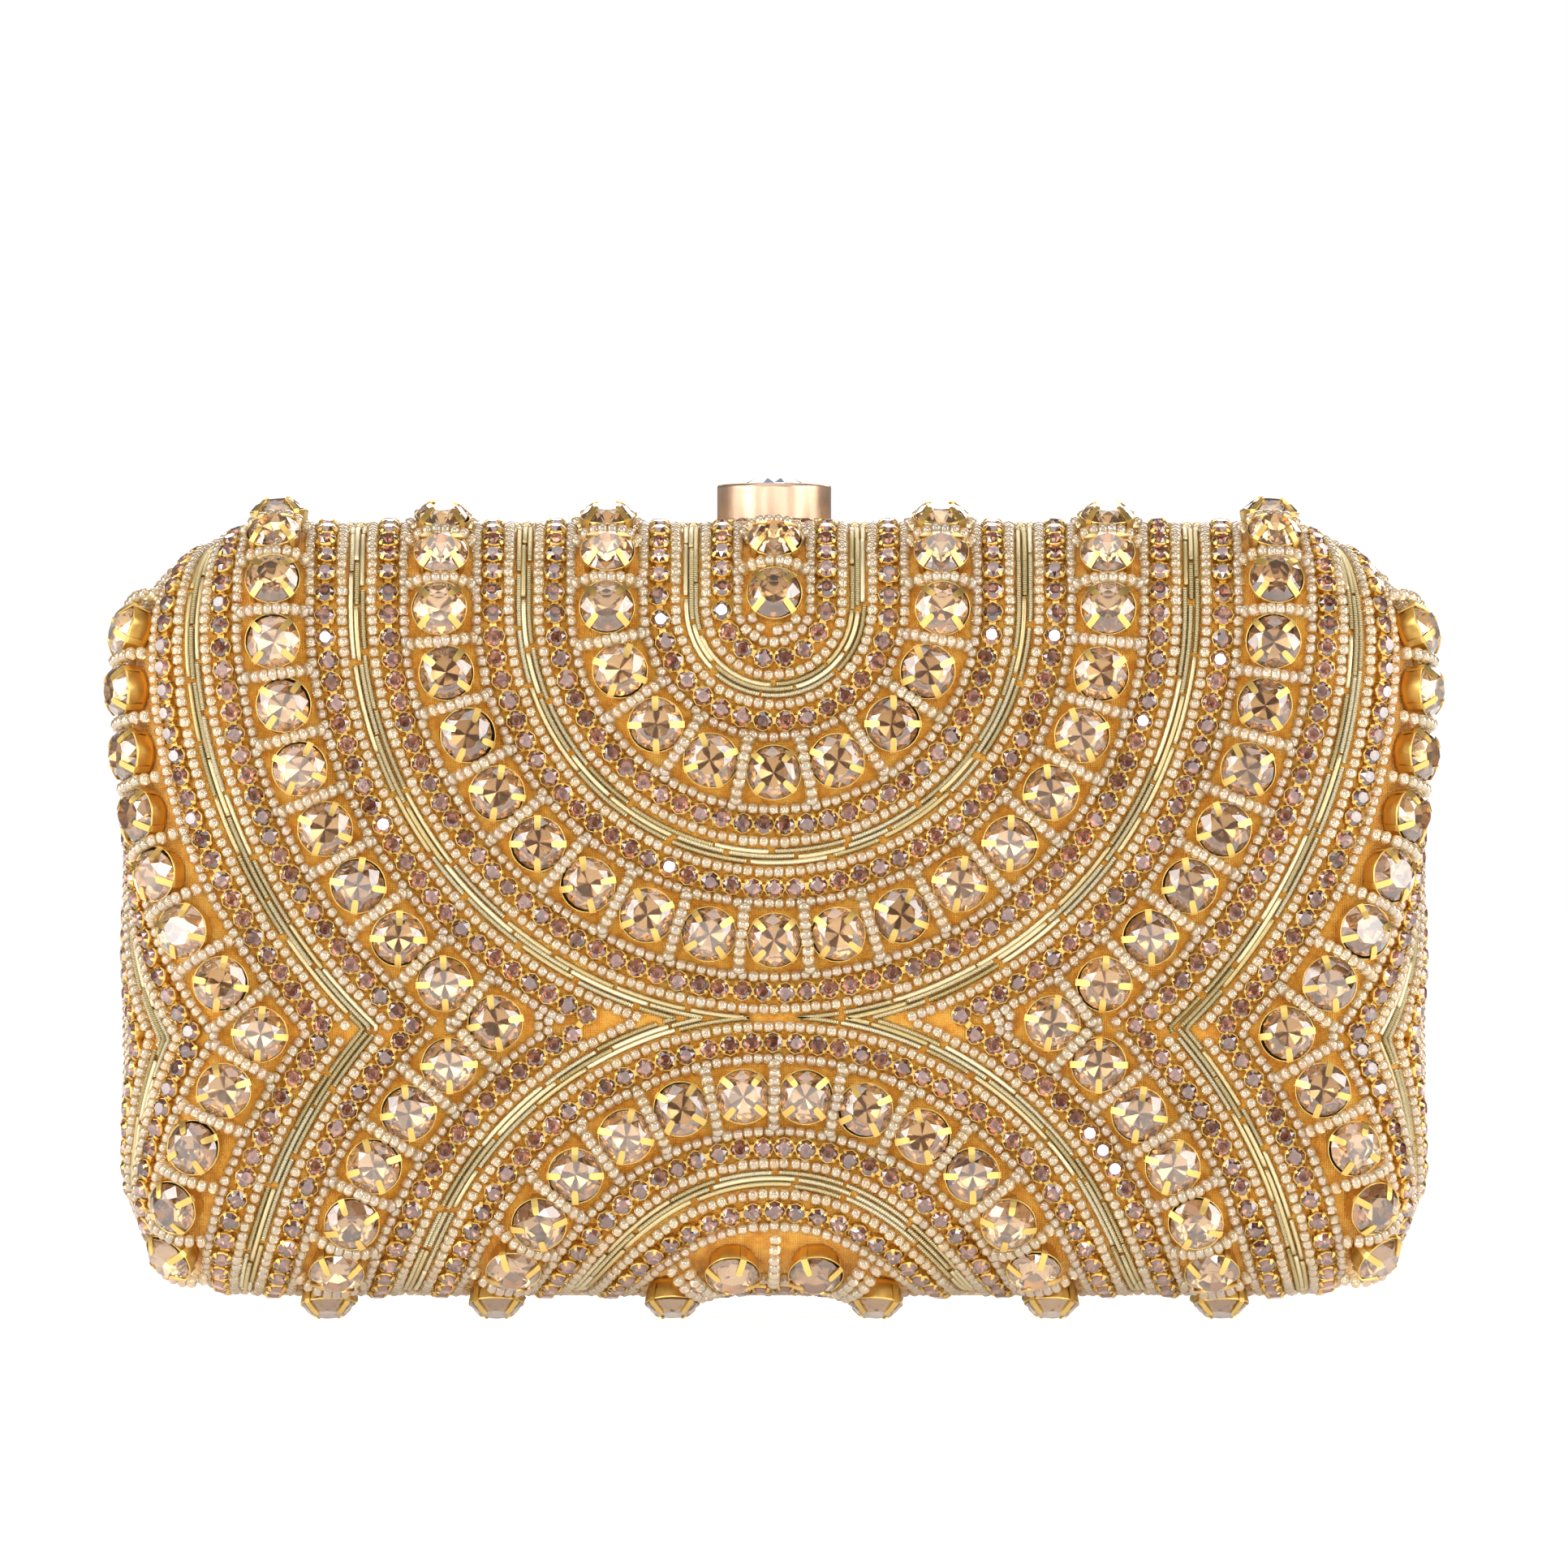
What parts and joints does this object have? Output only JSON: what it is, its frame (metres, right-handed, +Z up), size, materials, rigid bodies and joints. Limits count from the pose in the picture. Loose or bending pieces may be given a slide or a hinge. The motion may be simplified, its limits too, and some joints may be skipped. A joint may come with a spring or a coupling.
{
  "type": "evening bag",
  "caption": "Hard box clutch in two hinged halves, covered with beads and large set stones, with a push knob lock on top.",
  "frame": {"origin": "on the table under the centre of the closed bag, level with the lowest stones it stands on", "axes": "+X across the width, -Y towards the front face, +Z up towards the knob"},
  "size_m": [0.204, 0.0586, 0.1289],
  "materials": {
    "shell_board": "moulded board",
    "amber_fabric": "woven satin ground, saturated amber",
    "lining_fabric": "satin lining",
    "frame_gold": "polished gold plate",
    "knob_gold": "polished pale rose gold",
    "cup_gold": "bright stamped brass",
    "steel": "plain",
    "champagne_stone": "faceted foil-backed glass",
    "rose_stone": "faceted foil-backed glass",
    "clear_crystal": "faceted clear crystal",
    "seed_bead": "pearly lustred glass beads",
    "bullion_wire": "coiled pale gold embroidery wire"
  },
  "bodies": {
    "rear_half": {"rear_shell": "shell_board", "rear_cover": "amber_fabric", "rear_lining": "lining_fabric", "rear_frame": "frame_gold", "rear_frame_rivets": "steel", "rear_stone_cups": "cup_gold", "rear_stones": "champagne_stone", "rear_foot_cups": "cup_gold", "rear_foot_stones": "champagne_stone", "slip_pocket": "lining_fabric", "hinge_pin": "steel", "chain_lug_left": "frame_gold", "chain_lug_right": "frame_gold", "lock_housing": "steel", "lock_screws": "steel", "catch_leaf": "steel", "catch_leaf_rivet": "steel", "knob_collar": "frame_gold", "return_spring": "steel"},
    "front_half": {"front_shell": "shell_board", "front_cover": "amber_fabric", "front_lining": "lining_fabric", "front_frame": "frame_gold", "front_frame_rivets": "steel", "front_stone_cups": "cup_gold", "front_stones": "champagne_stone", "front_foot_cups": "cup_gold", "front_foot_stones": "champagne_stone", "keeper": "steel", "keeper_rivets": "steel"},
    "knob_button": {"knob": "knob_gold", "knob_crystal": "clear_crystal", "plunger": "steel"}
  },
  "joints": [
    {"name": "front_swing", "type": "hinge", "parent": "rear_half", "child": "front_half", "pos_m": [0, 0, 0.00468], "axis": [1, 0, 0], "range_deg": [0, 95]},
    {"name": "knob_press", "type": "slide", "parent": "rear_half", "child": "knob_button", "axis": [0, 0, -1], "range_m": [0, 0.0015], "stiffness_N_per_m": 600, "springref_m": -0.0025, "deforming": ["return_spring", "catch_leaf"]}
  ]
}
